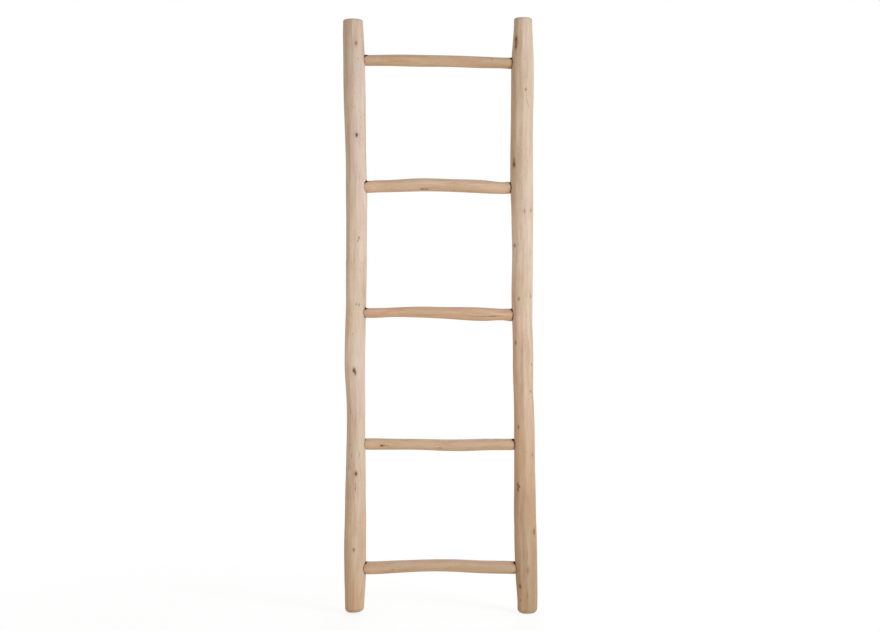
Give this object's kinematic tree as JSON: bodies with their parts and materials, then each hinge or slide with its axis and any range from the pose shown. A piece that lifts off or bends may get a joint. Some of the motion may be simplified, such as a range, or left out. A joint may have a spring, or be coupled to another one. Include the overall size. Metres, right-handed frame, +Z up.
{
  "type": "decorative ladder",
  "caption": "Rustic leaning ladder of peeled round branches, its rungs tenoned and pegged into two bent poles, for hanging blankets, towels or clothes.",
  "frame": {"origin": "on the floor, in the middle of the ladder's width and depth", "axes": "+Z up along the poles, +X to the right as seen in the picture, +Y to the back, away from the viewer"},
  "size_m": [0.4911, 0.0636, 1.5],
  "materials": {
    "stile_wood": "peeled and lightly sanded, unfinished",
    "rung_wood": "peeled and lightly sanded, unfinished",
    "peg_wood": "shaved, unfinished"
  },
  "bodies": {
    "root": {"left_stile": "stile_wood", "right_stile": "stile_wood", "rung_1": "rung_wood", "rung_2": "rung_wood", "rung_3": "rung_wood", "rung_4": "rung_wood", "rung_5": "rung_wood", "left_peg_1": "peg_wood", "left_peg_2": "peg_wood", "left_peg_3": "peg_wood", "left_peg_4": "peg_wood", "left_peg_5": "peg_wood", "right_peg_1": "peg_wood", "right_peg_2": "peg_wood", "right_peg_3": "peg_wood", "right_peg_4": "peg_wood", "right_peg_5": "peg_wood"}
  },
  "joints": []
}
